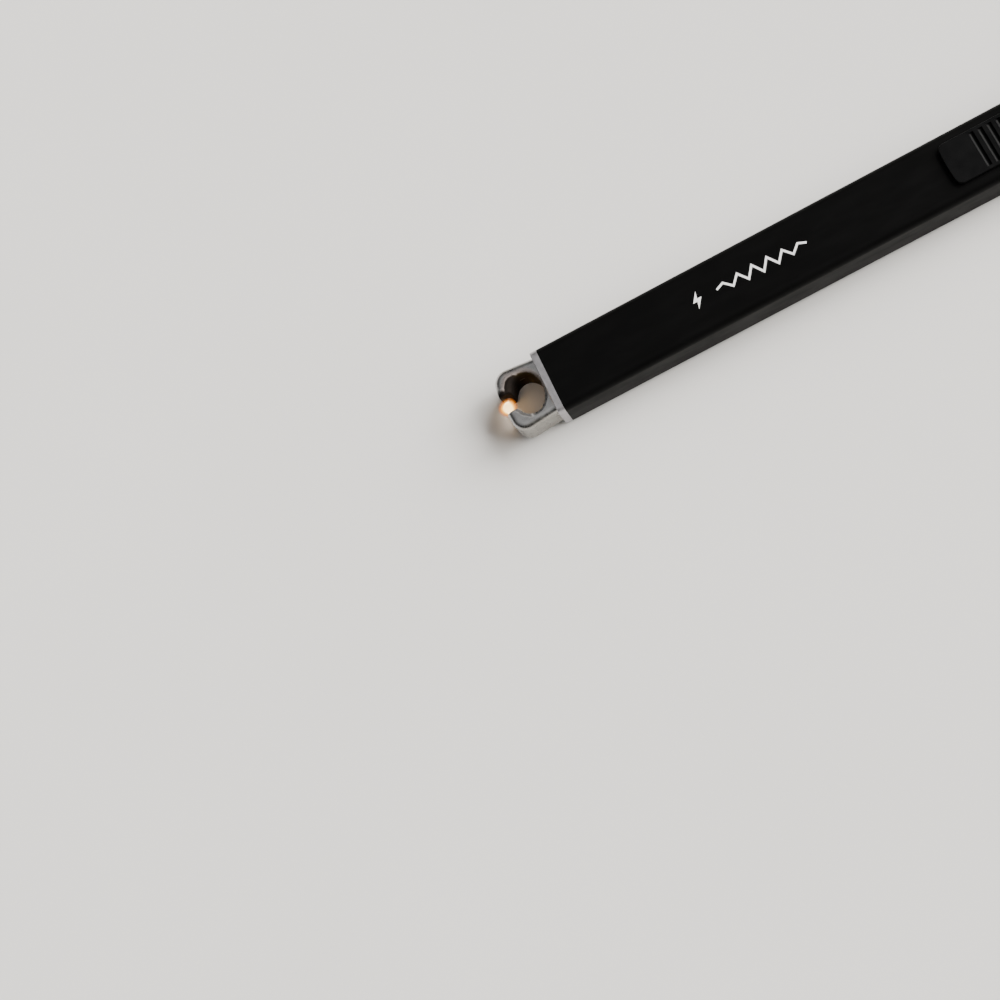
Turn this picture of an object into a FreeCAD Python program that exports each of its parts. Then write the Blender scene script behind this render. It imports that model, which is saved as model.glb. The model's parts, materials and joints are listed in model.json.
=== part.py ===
import FreeCAD, Part
import math
import os

# Slim rechargeable electric arc lighter. Lengths in millimetres.
# +X points from the tail to the arc tip, +Z out of the face that carries the thumb slider,
# and the lighter lies on its back face at z = 0. The origin is the middle of its footprint.

Vec = FreeCAD.Vector

# ---------------------------------------------------------------- driving dimensions
TUBE_WIDTH = 15.0
TUBE_THICK = 9.2
TUBE_CORNER = 1.7
TUBE_WALL = 0.9
TUBE_LENGTH = 158.0

PLATE_THICK = 1.55
HEAD_REACH = 11.3
HEAD_DEPTH = 7.6
HEAD_DROP = 0.3
CAP_LIP = 1.2

TILE_LENGTH = 22.6
TILE_WIDTH = 9.6
TILE_RISE = 0.9
TILE_FROM_FRONT = 89.4
SLIDE_TRAVEL = 3.0

MOVING_GAP = 0.1
FIT_GAP = 0.03

# ---------------------------------------------------------------- worked-out places
OVERALL = HEAD_REACH + TUBE_LENGTH + CAP_LIP
TUBE_FRONT = OVERALL / 2 - HEAD_REACH
TUBE_REAR = TUBE_FRONT - TUBE_LENGTH
TAIL_END = -OVERALL / 2
MID_Z = TUBE_THICK / 2
FACE_Z = TUBE_THICK
ROOF_Z = TUBE_THICK - TUBE_WALL
FLOOR_Z = TUBE_WALL
BORE_WIDTH = TUBE_WIDTH - 2 * TUBE_WALL
BORE_HEIGHT = TUBE_THICK - 2 * TUBE_WALL
BORE_CORNER = TUBE_CORNER - TUBE_WALL
INNER_WIDTH = BORE_WIDTH - 0.2
INNER_HEIGHT = BORE_HEIGHT - 0.2
INNER_CORNER = BORE_CORNER - 0.1


def behind(distance):
    """X of a point that lies this far behind the tube's front end."""
    return TUBE_FRONT - distance


# ---------------------------------------------------------------- shape helpers
def block(x0, x1, y0, y1, z0, z1):
    return Part.makeBox(x1 - x0, y1 - y0, z1 - z0, Vec(x0, y0, z0))


def rod(start, end, radius):
    span = end - start
    return Part.makeCylinder(radius, span.Length, start, span)


def bar(x0, x1, width, height, corner, z_mid=MID_Z):
    """Straight bar along X with a rounded-rectangular section."""
    half_w = width / 2
    half_h = height / 2
    box = Part.makeBox(x1 - x0, width, height, Vec(x0, -half_w, z_mid - half_h))
    long_edges = [e for e in box.Edges if abs(e.Length - (x1 - x0)) < 1e-6
                  and abs(e.tangentAt(e.FirstParameter).x) > 0.99]
    return box.makeFillet(corner, long_edges)


def bowed_block(corners, bows, z0, z1):
    """Upright block on a four-cornered outline whose sides bow out by the given sagittas."""
    edges = []
    for i, (x0, y0) in enumerate(corners):
        x1, y1 = corners[(i + 1) % len(corners)]
        if bows[i] == 0:
            edges.append(Part.makeLine(Vec(x0, y0, z0), Vec(x1, y1, z0)))
            continue
        length = math.hypot(x1 - x0, y1 - y0)
        mid = Vec((x0 + x1) / 2 + (y1 - y0) / length * bows[i],
                  (y0 + y1) / 2 - (x1 - x0) / length * bows[i], z0)
        edges.append(Part.Arc(Vec(x0, y0, z0), mid, Vec(x1, y1, z0)).toShape())
    return Part.Face(Part.Wire(edges)).extrude(Vec(0, 0, z1 - z0))


def upright_edges(shape, x_min=-1e9):
    """Edges parallel to Z that stand beyond x_min."""
    return [e for e in shape.Edges
            if e.BoundBox.ZMax - e.BoundBox.ZMin > 0.5 and e.BoundBox.XMax - e.BoundBox.XMin < 1e-4
            and e.BoundBox.YMax - e.BoundBox.YMin < 1e-4 and e.BoundBox.XMin > x_min]


def slot_block(x0, x1, width, z0, z1):
    """Upright block with full-round ends, for slots along X."""
    r = width / 2
    core = block(x0 + r, x1 - r, -r, r, z0, z1)
    for x in (x0 + r, x1 - r):
        core = core.fuse(rod(Vec(x, 0, z0), Vec(x, 0, z1), r))
    return core.removeSplitter()


def strip(points, thickness, z0, z1):
    """Thin sheet-metal strip that follows a line of (x, y) points, standing on edge."""
    left = []
    right = []
    for i, (x, y) in enumerate(points):
        xa, ya = points[max(i - 1, 0)]
        xb, yb = points[min(i + 1, len(points) - 1)]
        length = math.hypot(xb - xa, yb - ya)
        nx = -(yb - ya) / length * thickness / 2
        ny = (xb - xa) / length * thickness / 2
        left.append(Vec(x + nx, y + ny, z0))
        right.append(Vec(x - nx, y - ny, z0))
    loop = left + right[::-1] + left[:1]
    return Part.Face(Part.makePolygon(loop)).extrude(Vec(0, 0, z1 - z0))


def wire(points, radius):
    """Round insulated wire on a smooth line drawn by its control points."""
    curve = Part.BSplineCurve()
    curve.buildFromPoles(points, False, 3)
    path = Part.Wire(curve.toShape())
    start = curve.value(curve.FirstParameter)
    direction = curve.tangent(curve.FirstParameter)[0]
    ring = Part.Wire(Part.makeCircle(radius, start, direction))
    return path.makePipeShell([ring], True, True)


def screw(tip, head_top, shank_r, head_r, head_h):
    """Pan-head screw along X with a cross recess, from its tip to the top of its head."""
    out = (head_top - tip).normalize()
    head_base = head_top - out * head_h
    body = rod(tip, head_base, shank_r).fuse(rod(head_base, head_top, head_r))
    arm = head_r * 0.62
    recess = 0.16 * head_r
    depth = head_h * 0.55
    lo_x = min(head_top.x, head_top.x - out.x * depth)
    hi_x = max(head_top.x, head_top.x - out.x * depth)
    y, z = head_top.y, head_top.z
    cross = block(lo_x, hi_x, y - arm, y + arm, z - recess, z + recess)
    cross = cross.fuse(block(lo_x, hi_x, y - recess, y + recess, z - arm, z + arm))
    return body.cut(cross).removeSplitter()


# ---------------------------------------------------------------- head
CLAW_MID_Z = MID_Z - HEAD_DROP
CLAW_BOTTOM = CLAW_MID_Z - HEAD_DEPTH / 2
CLAW_TOP = CLAW_MID_Z + HEAD_DEPTH / 2
CLAW_START = TUBE_FRONT + PLATE_THICK
CLAW_BASE_HALF = 6.4
CLAW_SPREAD = 0.095
CLAW_CORNER = 3.2
CLAW_EDGE = 1.4
CLAW_FRONT_BOW = 0.6
GAP_HALF = 1.95
GAP_EDGE = 0.35
WINDOW_CENTRE = TUBE_FRONT + 5.5
WINDOW_HALF_LENGTH = 3.4
WINDOW_HALF_WIDTH = 4.5
WINDOW_RIM = 0.75
SPIGOT_LENGTH = 6.0
TENON_LENGTH = 4.6
TENON_HALF_WIDTH = 3.4
TENON_HALF_DEPTH = 2.6

CHANNEL_BACK = Vec(TUBE_FRONT - SPIGOT_LENGTH, 4.7, MID_Z)
CHANNEL_ELBOW = Vec(TUBE_FRONT + 9.0, 5.2, MID_Z)
CHANNEL_END = Vec(TUBE_FRONT + 10.1, 1.75, MID_Z)
CERAMIC_R = 0.62
ELECTRODE_R = 0.3
ELECTRODE_STAND_OUT = 0.3
HEAD_SCREW_Z = (3.15, 6.05)
HEAD_SCREW_R = 0.8


def claw_block():
    """Both claws and their web as one block with rounded front corners, not yet opened.

    It starts a little behind the plate's face, so that the window's rim can be rounded.
    """
    back = CLAW_START - 1
    front = TUBE_FRONT + HEAD_REACH - CLAW_FRONT_BOW
    front_half = CLAW_BASE_HALF + CLAW_SPREAD * (front - back)
    corners = [(back, -CLAW_BASE_HALF), (front, -front_half), (front, front_half),
               (back, CLAW_BASE_HALF)]
    claws = bowed_block(corners, (0, CLAW_FRONT_BOW, 0, 0), CLAW_BOTTOM, CLAW_TOP)
    claws = claws.makeFillet(CLAW_CORNER, upright_edges(claws, CLAW_START + 1))
    outer = [e for e in claws.Edges if e.BoundBox.ZMax - e.BoundBox.ZMin < 0.01
             and e.BoundBox.XMax > back + 0.01]
    return claws.makeFillet(CLAW_EDGE, outer)


def window_prism():
    """Elliptical window that goes right through the head."""
    centre = Vec(WINDOW_CENTRE, 0, CLAW_BOTTOM - 1)
    outline = Part.Ellipse(centre + Vec(0, WINDOW_HALF_WIDTH, 0),
                           centre + Vec(WINDOW_HALF_LENGTH, 0, 0), centre)
    face = Part.Face(Part.Wire(outline.toShape()))
    return face.extrude(Vec(0, 0, HEAD_DEPTH + 2))


def window_rims(shape):
    """The window's upper and lower edges."""
    slack = 0.01
    return [e for e in shape.Edges if e.BoundBox.ZMax - e.BoundBox.ZMin < slack
            and abs(e.BoundBox.XMax - WINDOW_CENTRE - WINDOW_HALF_LENGTH) < slack
            and abs(e.BoundBox.YMax - WINDOW_HALF_WIDTH) < slack]


def gap_edges(shape):
    """The edges round each claw's end face, beside the gap."""
    slack = 0.01
    return [e for e in shape.Edges if e.BoundBox.YMax - e.BoundBox.YMin < slack
            and abs(abs(e.BoundBox.YMax) - GAP_HALF) < slack
            and e.BoundBox.XMin > WINDOW_CENTRE]


def channel(radius, side, back_x, past_end):
    """Run up a claw, an elbow, and a run along the finger to past_end beyond the claw's end."""
    elbow = Vec(CHANNEL_ELBOW.x, side * CHANNEL_ELBOW.y, MID_Z)
    along = (CHANNEL_ELBOW - CHANNEL_BACK).normalize()
    reach = (CHANNEL_ELBOW.x - back_x) / along.x
    back = Vec(back_x, side * (CHANNEL_ELBOW.y - along.y * reach), MID_Z)
    finger = (CHANNEL_END - CHANNEL_ELBOW).normalize()
    tip = CHANNEL_END + finger * past_end
    end = Vec(tip.x, side * tip.y, MID_Z)
    shape = rod(back, elbow, radius).fuse([rod(elbow, end, radius), Part.makeSphere(radius, elbow)])
    return shape.removeSplitter()


def make_arc_head():
    """Claws and their tenon in one casting; the screws from inside pull on the tenon."""
    claws = claw_block().cut(window_prism())
    claws = claws.makeFillet(WINDOW_RIM, window_rims(claws))
    gap = block(WINDOW_CENTRE + 1, TUBE_FRONT + HEAD_REACH + 1, -GAP_HALF, GAP_HALF,
                CLAW_BOTTOM - 1, CLAW_TOP + 1)
    claws = claws.cut(gap)
    claws = claws.makeFillet(GAP_EDGE, gap_edges(claws))
    claws = claws.cut(block(CLAW_START - 2, CLAW_START, -9, 9, -9, 20))
    tenon = block(TUBE_FRONT - TENON_LENGTH, CLAW_START + 0.1, -TENON_HALF_WIDTH,
                  TENON_HALF_WIDTH, MID_Z - TENON_HALF_DEPTH, MID_Z + TENON_HALF_DEPTH)
    head = claws.fuse(tenon)
    for side in (-1, 1):
        head = head.cut(channel(CERAMIC_R + FIT_GAP, side, TUBE_FRONT - SPIGOT_LENGTH - 0.5, 1.0))
    for z in HEAD_SCREW_Z:
        hole = rod(Vec(TUBE_FRONT - SPIGOT_LENGTH - 0.1, 0, z),
                   Vec(TUBE_FRONT - 1.2, 0, z), HEAD_SCREW_R + FIT_GAP)
        head = head.cut(hole)
    return head.removeSplitter()


def make_head_plate():
    """End plate and spigot that close the tube's front, with a pocket for the head's tenon."""
    plate = bar(TUBE_FRONT, TUBE_FRONT + PLATE_THICK, TUBE_WIDTH, TUBE_THICK, TUBE_CORNER)
    rim = [e for e in plate.Edges if e.BoundBox.XMin > TUBE_FRONT + PLATE_THICK - 0.01]
    plate = plate.makeFillet(0.2, rim)
    spigot = bar(TUBE_FRONT - SPIGOT_LENGTH, TUBE_FRONT + 0.1, INNER_WIDTH, INNER_HEIGHT,
                 INNER_CORNER)
    plate = plate.fuse(spigot)
    pocket = block(TUBE_FRONT - TENON_LENGTH - FIT_GAP, CLAW_START + 1,
                   -TENON_HALF_WIDTH - FIT_GAP, TENON_HALF_WIDTH + FIT_GAP,
                   MID_Z - TENON_HALF_DEPTH - FIT_GAP, MID_Z + TENON_HALF_DEPTH + FIT_GAP)
    plate = plate.cut(pocket)
    for side in (-1, 1):
        plate = plate.cut(channel(CERAMIC_R + FIT_GAP, side, TUBE_FRONT - SPIGOT_LENGTH - 0.5, 1.0))
    for z in HEAD_SCREW_Z:
        plate = plate.cut(rod(Vec(TUBE_FRONT - SPIGOT_LENGTH - 0.1, 0, z),
                              Vec(TUBE_FRONT - 2, 0, z), HEAD_SCREW_R + 0.1))
    return plate.removeSplitter()


def make_insulator(side):
    body = channel(CERAMIC_R, side, TUBE_FRONT - SPIGOT_LENGTH + 0.4, 0)
    bore = channel(ELECTRODE_R + FIT_GAP, side, TUBE_FRONT - SPIGOT_LENGTH - 1, 1.0)
    return body.cut(bore)


def make_electrode(side):
    return channel(ELECTRODE_R, side, TUBE_FRONT - SPIGOT_LENGTH - 0.8, ELECTRODE_STAND_OUT)


# ---------------------------------------------------------------- tube
SLOT_WIDTH = 3.0
STEM_LENGTH = 6.0
STEM_WIDTH = 2.7
TILE_FRONT = behind(TILE_FROM_FRONT)
TILE_REAR = TILE_FRONT - TILE_LENGTH
TILE_MID = (TILE_FRONT + TILE_REAR) / 2
SLOT_FRONT = TILE_MID + STEM_LENGTH / 2 + 0.2
SLOT_REAR = TILE_MID - STEM_LENGTH / 2 - SLIDE_TRAVEL - 0.2

LIGHT_COUNT = 4
LIGHT_PITCH = 3.2
LIGHT_FIRST = TILE_REAR - SLIDE_TRAVEL - 6.0
LIGHT_HOLE_R = 0.6
LIGHT_XS = [LIGHT_FIRST - i * LIGHT_PITCH for i in range(LIGHT_COUNT)]


def make_body_tube():
    tube = bar(TUBE_REAR, TUBE_FRONT, TUBE_WIDTH, TUBE_THICK, TUBE_CORNER)
    tube = tube.cut(bar(TUBE_REAR - 1, TUBE_FRONT + 1, BORE_WIDTH, BORE_HEIGHT, BORE_CORNER))
    tube = tube.cut(slot_block(SLOT_REAR, SLOT_FRONT, SLOT_WIDTH, ROOF_Z - 0.5, FACE_Z + 0.5))
    for x in LIGHT_XS:
        tube = tube.cut(rod(Vec(x, 0, ROOF_Z - 0.5), Vec(x, 0, FACE_Z + 0.5), LIGHT_HOLE_R))
    return tube


# ---------------------------------------------------------------- slider
RIDGE_PITCH = 1.95
RIDGE_GROOVES = 5
GROOVE_R = 0.6
GROOVE_LIFT = 0.22
GROOVE_HALF_LENGTH = 4.1
CARRIAGE_HALF = 4.5
CARRIAGE_Z0 = 6.9
CARRIAGE_Z1 = ROOF_Z - MOVING_GAP
CARRIAGE_REAR = TILE_MID - 5.0
CARRIAGE_FRONT = TILE_MID + 11.2
HOOK_Z = CARRIAGE_Z0 - 0.45
ACTUATOR_X = TILE_MID + 8.8
ACTUATOR_LENGTH = 1.6
ACTUATOR_WIDTH = 1.4
DETENT_X = TILE_MID - 1.6
DETENT_R = 0.55


def make_thumb_slider():
    z0 = FACE_Z + MOVING_GAP
    z1 = FACE_Z + TILE_RISE
    bow = 0.3
    half = TILE_WIDTH / 2
    corners = [(TILE_REAR + bow, -half), (TILE_FRONT - bow, -half),
               (TILE_FRONT - bow, half), (TILE_REAR + bow, half)]
    tile = bowed_block(corners, (0, bow, 0, bow), z0, z1)
    tile = tile.makeFillet(1.5, upright_edges(tile))
    top = [e for e in tile.Edges if e.BoundBox.ZMin > z1 - 0.01]
    tile = tile.makeFillet(0.22, top)
    for i in range(RIDGE_GROOVES):
        x = TILE_MID + (i - (RIDGE_GROOVES - 1) / 2) * RIDGE_PITCH
        centre_z = z1 + GROOVE_LIFT
        groove = rod(Vec(x, -GROOVE_HALF_LENGTH, centre_z), Vec(x, GROOVE_HALF_LENGTH, centre_z),
                     GROOVE_R)
        tile = tile.cut(groove)
    half_l = STEM_LENGTH / 2
    stem = slot_block(TILE_MID - half_l, TILE_MID + half_l, STEM_WIDTH,
                      CARRIAGE_Z1 - 0.02, z0 + 0.05)
    tile = tile.fuse(stem)
    for end in (-1, 1):
        inner = TILE_MID + end * 1.1
        outer = TILE_MID + end * 2.3
        leg = block(min(inner, outer), max(inner, outer), -1.0, 1.0, HOOK_Z, CARRIAGE_Z1)
        barb = outer + end * 0.3
        hook = block(min(outer, barb), max(outer, barb), -1.0, 1.0,
                     HOOK_Z, CARRIAGE_Z0 - 0.05)
        tile = tile.fuse([leg, hook])
    return tile.removeSplitter()


def make_slider_carriage():
    body = block(CARRIAGE_REAR, CARRIAGE_FRONT, -CARRIAGE_HALF, CARRIAGE_HALF,
                 CARRIAGE_Z0, CARRIAGE_Z1 - 0.05)
    upright = [e for e in body.Edges if e.BoundBox.ZMax - e.BoundBox.ZMin > 1.0]
    body = body.makeFillet(0.6, upright)
    leg_hole = block(TILE_MID - 2.35, TILE_MID + 2.35, -1.05, 1.05,
                     CARRIAGE_Z0 - 1, CARRIAGE_Z1 + 1)
    body = body.cut(leg_hole)
    pocket = block(ACTUATOR_X - ACTUATOR_LENGTH / 2 - 0.05, ACTUATOR_X + ACTUATOR_LENGTH / 2 + 0.05,
                   -ACTUATOR_WIDTH / 2 - 0.05, ACTUATOR_WIDTH / 2 + 0.05,
                   CARRIAGE_Z0 - 1, CARRIAGE_Z0 + 0.85)
    body = body.cut(pocket)
    for x in (DETENT_X, DETENT_X + SLIDE_TRAVEL):
        notch = rod(Vec(x, CARRIAGE_HALF + 0.15, CARRIAGE_Z0 - 1),
                    Vec(x, CARRIAGE_HALF + 0.15, CARRIAGE_Z1 + 1), DETENT_R)
        body = body.cut(notch)
    return body


def make_detent_spring():
    """Bowed leaf on the tray's rail whose rounded nose sits in a notch of the carriage."""
    rail_y = RAIL_INNER_Y - 0.12
    nose_y = CARRIAGE_HALF - 0.22
    half_span = 7.0
    points = [(DETENT_X - half_span, rail_y), (DETENT_X - half_span + 1.6, rail_y)]
    points += [(DETENT_X - 2.2, rail_y - 0.45), (DETENT_X - 1.0, rail_y - 0.62)]
    for step in range(7):
        angle = math.pi * step / 6
        depth = rail_y - 0.62 - nose_y
        points.append((DETENT_X - 0.42 * math.cos(angle), rail_y - 0.62 - depth * math.sin(angle)))
    points += [(DETENT_X + 1.0, rail_y - 0.62), (DETENT_X + 2.2, rail_y - 0.45)]
    points += [(DETENT_X + half_span - 1.6, rail_y), (DETENT_X + half_span, rail_y)]
    return strip(points, 0.14, CARRIAGE_Z0 + 0.1, CARRIAGE_Z1 - 0.15)


# ---------------------------------------------------------------- switch
BOARD_Z0 = 4.0
BOARD_Z1 = 4.8
BOARD_FRONT = behind(81.0)
BOARD_REAR = behind(150.6)
BOARD_HALF = 5.55
SWITCH_HALF_L = 4.4
SWITCH_HALF_W = 2.1
SWITCH_X = ACTUATOR_X - SLIDE_TRAVEL / 2
SWITCH_TOP = 6.7
SWITCH_SHEET = 0.25


def make_switch_case():
    """Folded metal frame over the switch's moulded base, open underneath."""
    shell = block(SWITCH_X - SWITCH_HALF_L, SWITCH_X + SWITCH_HALF_L,
                  -SWITCH_HALF_W, SWITCH_HALF_W, BOARD_Z1, SWITCH_TOP)
    hollow = block(SWITCH_X - SWITCH_HALF_L + SWITCH_SHEET, SWITCH_X + SWITCH_HALF_L - SWITCH_SHEET,
                   -SWITCH_HALF_W + SWITCH_SHEET, SWITCH_HALF_W - SWITCH_SHEET,
                   BOARD_Z1 - 1, SWITCH_TOP - SWITCH_SHEET)
    shell = shell.cut(hollow)
    half = ACTUATOR_LENGTH / 2 + SLIDE_TRAVEL / 2 + MOVING_GAP
    opening = block(SWITCH_X - half, SWITCH_X + half,
                    -ACTUATOR_WIDTH / 2 - MOVING_GAP, ACTUATOR_WIDTH / 2 + MOVING_GAP,
                    SWITCH_TOP - 1, SWITCH_TOP + 1)
    return shell.cut(opening)


def make_switch_base():
    """Moulded base with three flat contacts' seats, a channel for the actuator's foot."""
    inset = SWITCH_SHEET + 0.03
    base = block(SWITCH_X - SWITCH_HALF_L + inset, SWITCH_X + SWITCH_HALF_L - inset,
                 -SWITCH_HALF_W + inset, SWITCH_HALF_W - inset, BOARD_Z1, SWITCH_TOP - 0.3)
    trough = block(SWITCH_X - 3.2, SWITCH_X + 3.2, -1.25, 1.25, BOARD_Z1 + 0.4, SWITCH_TOP)
    return base.cut(trough)


def make_switch_actuator():
    foot = block(ACTUATOR_X - 1.4, ACTUATOR_X + 1.4, -1.1, 1.1, BOARD_Z1 + 0.5,
                 SWITCH_TOP - SWITCH_SHEET - 0.1)
    lever = block(ACTUATOR_X - ACTUATOR_LENGTH / 2, ACTUATOR_X + ACTUATOR_LENGTH / 2,
                  -ACTUATOR_WIDTH / 2, ACTUATOR_WIDTH / 2, BOARD_Z1 + 0.9, CARRIAGE_Z0 + 0.75)
    return foot.fuse(lever).removeSplitter()


# ---------------------------------------------------------------- tray
TRAY_FRONT = TUBE_FRONT - SPIGOT_LENGTH - 0.02
TRAY_REAR = behind(152.0)
TRAY_FLOOR_TOP = FLOOR_Z + 0.1 + 0.75
BULKHEAD_THICK = 1.4
WALL_INNER_Y = 5.75
LEDGE_INNER_Y = 5.0
RAIL_INNER_Y = 5.7
CAP_SCREW_Y = 5.45
CAP_SCREW_Z = 2.5
CAP_SCREW_R = 0.6

TRANSFORMER_FRONT = behind(11.0)
TRANSFORMER_REAR = behind(33.0)
CELL_FRONT = behind(36.0)
CELL_REAR = behind(78.0)


def make_inner_tray():
    envelope = bar(TRAY_REAR, TRAY_FRONT, INNER_WIDTH, INNER_HEIGHT, INNER_CORNER)
    top = 4.0
    low = FLOOR_Z
    solids = [block(TRAY_REAR, TRAY_FRONT, -7, 7, low, TRAY_FLOOR_TOP)]
    for side in (-1, 1):
        y_pair = sorted((side * WALL_INNER_Y, side * 7))
        solids.append(block(TRAY_REAR, TRAY_FRONT, y_pair[0], y_pair[1], low, top))
        y_pair = sorted((side * LEDGE_INNER_Y, side * 7))
        solids.append(block(TRAY_REAR, BOARD_FRONT + 0.5, y_pair[0], y_pair[1], low, top))
        y_pair = sorted((side * RAIL_INNER_Y, side * 7))
        solids.append(block(TILE_MID - 9.5, TILE_MID + 13.0, y_pair[0], y_pair[1], low, ROOF_Z))
        y_pair = sorted((side * (BOARD_HALF + 0.1), side * 7))
        solids.append(block(TRAY_REAR, BOARD_FRONT + 0.5, y_pair[0], y_pair[1], low, BOARD_Z1))
        y_pair = sorted((side * 4.6, side * 7))
        solids.append(block(TRAY_REAR, TRAY_REAR + 6.0, y_pair[0], y_pair[1], low, top))
    solids.append(block(TRAY_FRONT - BULKHEAD_THICK, TRAY_FRONT, -7, 7, low, ROOF_Z))
    for x in (TRANSFORMER_REAR - 1.9, CELL_REAR - 1.6):
        solids.append(block(x, x + 0.8, -7, 7, low, 5.4))
    tray = solids[0].fuse(solids[1:]).common(envelope)
    for z in HEAD_SCREW_Z:
        tray = tray.cut(rod(Vec(TRAY_FRONT - 3, 0, z), Vec(TRAY_FRONT + 1, 0, z),
                            HEAD_SCREW_R + 0.1))
    for side in (-1, 1):
        tray = tray.cut(rod(Vec(TRAY_FRONT - 3, side * CHANNEL_BACK.y, MID_Z),
                            Vec(TRAY_FRONT + 1, side * CHANNEL_BACK.y, MID_Z), 0.95))
        tray = tray.cut(rod(Vec(TRAY_REAR - 1, side * CAP_SCREW_Y, CAP_SCREW_Z),
                            Vec(TRAY_REAR + 5.2, side * CAP_SCREW_Y, CAP_SCREW_Z),
                            CAP_SCREW_R + FIT_GAP))
    for step in range(5):
        x = BOARD_REAR + 8.0 + step * 12.5
        tray = tray.cut(slot_block(x, x + 8.0, 5.0, FLOOR_Z - 1, TRAY_FLOOR_TOP + 0.1))
    return tray.removeSplitter()


def make_head_screws():
    screws = []
    for z in HEAD_SCREW_Z:
        tip = Vec(TUBE_FRONT - 1.6, 0, z)
        top = Vec(TRAY_FRONT - BULKHEAD_THICK - 0.75, 0, z)
        screws.append(screw(tip, top, HEAD_SCREW_R, 1.35, 0.7))
    return Part.makeCompound(screws)


# ---------------------------------------------------------------- high-voltage transformer
CASE_HALF = 5.5
CASE_Z0 = TRAY_FLOOR_TOP + 0.02
CASE_Z1 = 7.9
CASE_WALL = 0.6
BOBBIN_X0 = TRANSFORMER_REAR + 1.4
BOBBIN_X1 = TRANSFORMER_FRONT - 1.4
BOBBIN_MID_Z = (CASE_Z0 + CASE_WALL + CASE_Z1 - 1.0) / 2
FLANGE_HALF = 2.15
FLANGE_THICK = 0.5
BARREL_R = 1.15
CORE_R = 0.85
SECTIONS = 7
PRIMARY_SPAN = 3.4


def flange_places():
    span = BOBBIN_X1 - BOBBIN_X0 - FLANGE_THICK - PRIMARY_SPAN
    places = [BOBBIN_X0]
    places += [BOBBIN_X0 + PRIMARY_SPAN + span * i / SECTIONS for i in range(SECTIONS + 1)]
    return places


def make_transformer_case():
    case = block(TRANSFORMER_REAR, TRANSFORMER_FRONT, -CASE_HALF, CASE_HALF, CASE_Z0, CASE_Z1)
    upright = [e for e in case.Edges if e.BoundBox.ZMax - e.BoundBox.ZMin > 5]
    case = case.makeFillet(0.5, upright)
    hollow = block(TRANSFORMER_REAR + CASE_WALL, TRANSFORMER_FRONT - CASE_WALL,
                   -CASE_HALF + CASE_WALL, CASE_HALF - CASE_WALL, CASE_Z0 + CASE_WALL, CASE_Z1 + 1)
    case = case.cut(hollow)
    for side in (-1, 1):
        case = case.cut(rod(Vec(TRANSFORMER_FRONT - 2, side * 3.6, MID_Z),
                            Vec(TRANSFORMER_FRONT + 1, side * 3.6, MID_Z), 0.75))
    return case


def make_transformer_bobbin():
    mid = BOBBIN_MID_Z
    bobbin = rod(Vec(BOBBIN_X0, 0, mid), Vec(BOBBIN_X1, 0, mid), BARREL_R)
    flanges = [block(x, x + FLANGE_THICK, -4.6, 4.6, mid - FLANGE_HALF, mid + FLANGE_HALF)
               for x in flange_places()]
    bobbin = bobbin.fuse(flanges)
    bore = rod(Vec(BOBBIN_X0 - 1, 0, mid), Vec(BOBBIN_X1 + 1, 0, mid), CORE_R + FIT_GAP)
    return bobbin.cut(bore).removeSplitter()


def coil(x0, x1, outer_r):
    ring = rod(Vec(x0 + 0.05, 0, BOBBIN_MID_Z), Vec(x1 - 0.05, 0, BOBBIN_MID_Z), outer_r)
    return ring.cut(rod(Vec(x0 - 1, 0, BOBBIN_MID_Z), Vec(x1 + 1, 0, BOBBIN_MID_Z),
                        BARREL_R + FIT_GAP))


def make_secondary_winding():
    places = flange_places()
    return Part.makeCompound([coil(places[i] + FLANGE_THICK, places[i + 1], 1.95)
                              for i in range(1, SECTIONS + 1)])


def make_primary_winding():
    places = flange_places()
    return coil(places[0] + FLANGE_THICK, places[1], 1.75)


def make_ferrite_core():
    return rod(Vec(BOBBIN_X0 - 0.6, 0, BOBBIN_MID_Z), Vec(BOBBIN_X1 + 0.6, 0, BOBBIN_MID_Z), CORE_R)


def make_potting_lid():
    inset = CASE_WALL + FIT_GAP
    return block(TRANSFORMER_REAR + inset, TRANSFORMER_FRONT - inset, -CASE_HALF + inset,
                 CASE_HALF - inset, CASE_Z1 - 0.9, CASE_Z1 - 0.15)


def make_hv_lead(side):
    y_head = side * CHANNEL_BACK.y
    y_case = side * 3.6
    points = [Vec(TUBE_FRONT - SPIGOT_LENGTH - 0.85, y_head - side * 0.05, MID_Z),
              Vec(TRAY_FRONT - BULKHEAD_THICK - 1.2, y_head - side * 0.05, MID_Z),
              Vec(TRANSFORMER_FRONT + 1.6, y_case, MID_Z),
              Vec(TRANSFORMER_FRONT - 0.8, y_case, MID_Z)]
    return wire(points, 0.55)


def make_primary_lead(side):
    y = side * 4.55
    z_top = 7.6
    points = [Vec(BOARD_FRONT - 2.2, y, BOARD_Z1 + 0.6), Vec(BOARD_FRONT - 1.2, y, BOARD_Z1 + 0.6),
              Vec(BOARD_FRONT - 0.4, y, z_top), Vec(CELL_REAR + 1.0, y, z_top),
              Vec(CELL_REAR + 6.0, y, z_top), Vec((CELL_REAR + CELL_FRONT) / 2, y, z_top),
              Vec(CELL_FRONT - 4.0, y, z_top), Vec(CELL_FRONT + 0.5, y, z_top),
              Vec(TRANSFORMER_REAR - 1.4, y, 7.0), Vec(TRANSFORMER_REAR - 0.5, y, 7.0)]
    return wire(points, 0.45)


# ---------------------------------------------------------------- cell
CELL_HALF = 5.5
CELL_Z0 = TRAY_FLOOR_TOP + 0.05
CELL_Z1 = 6.95


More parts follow.
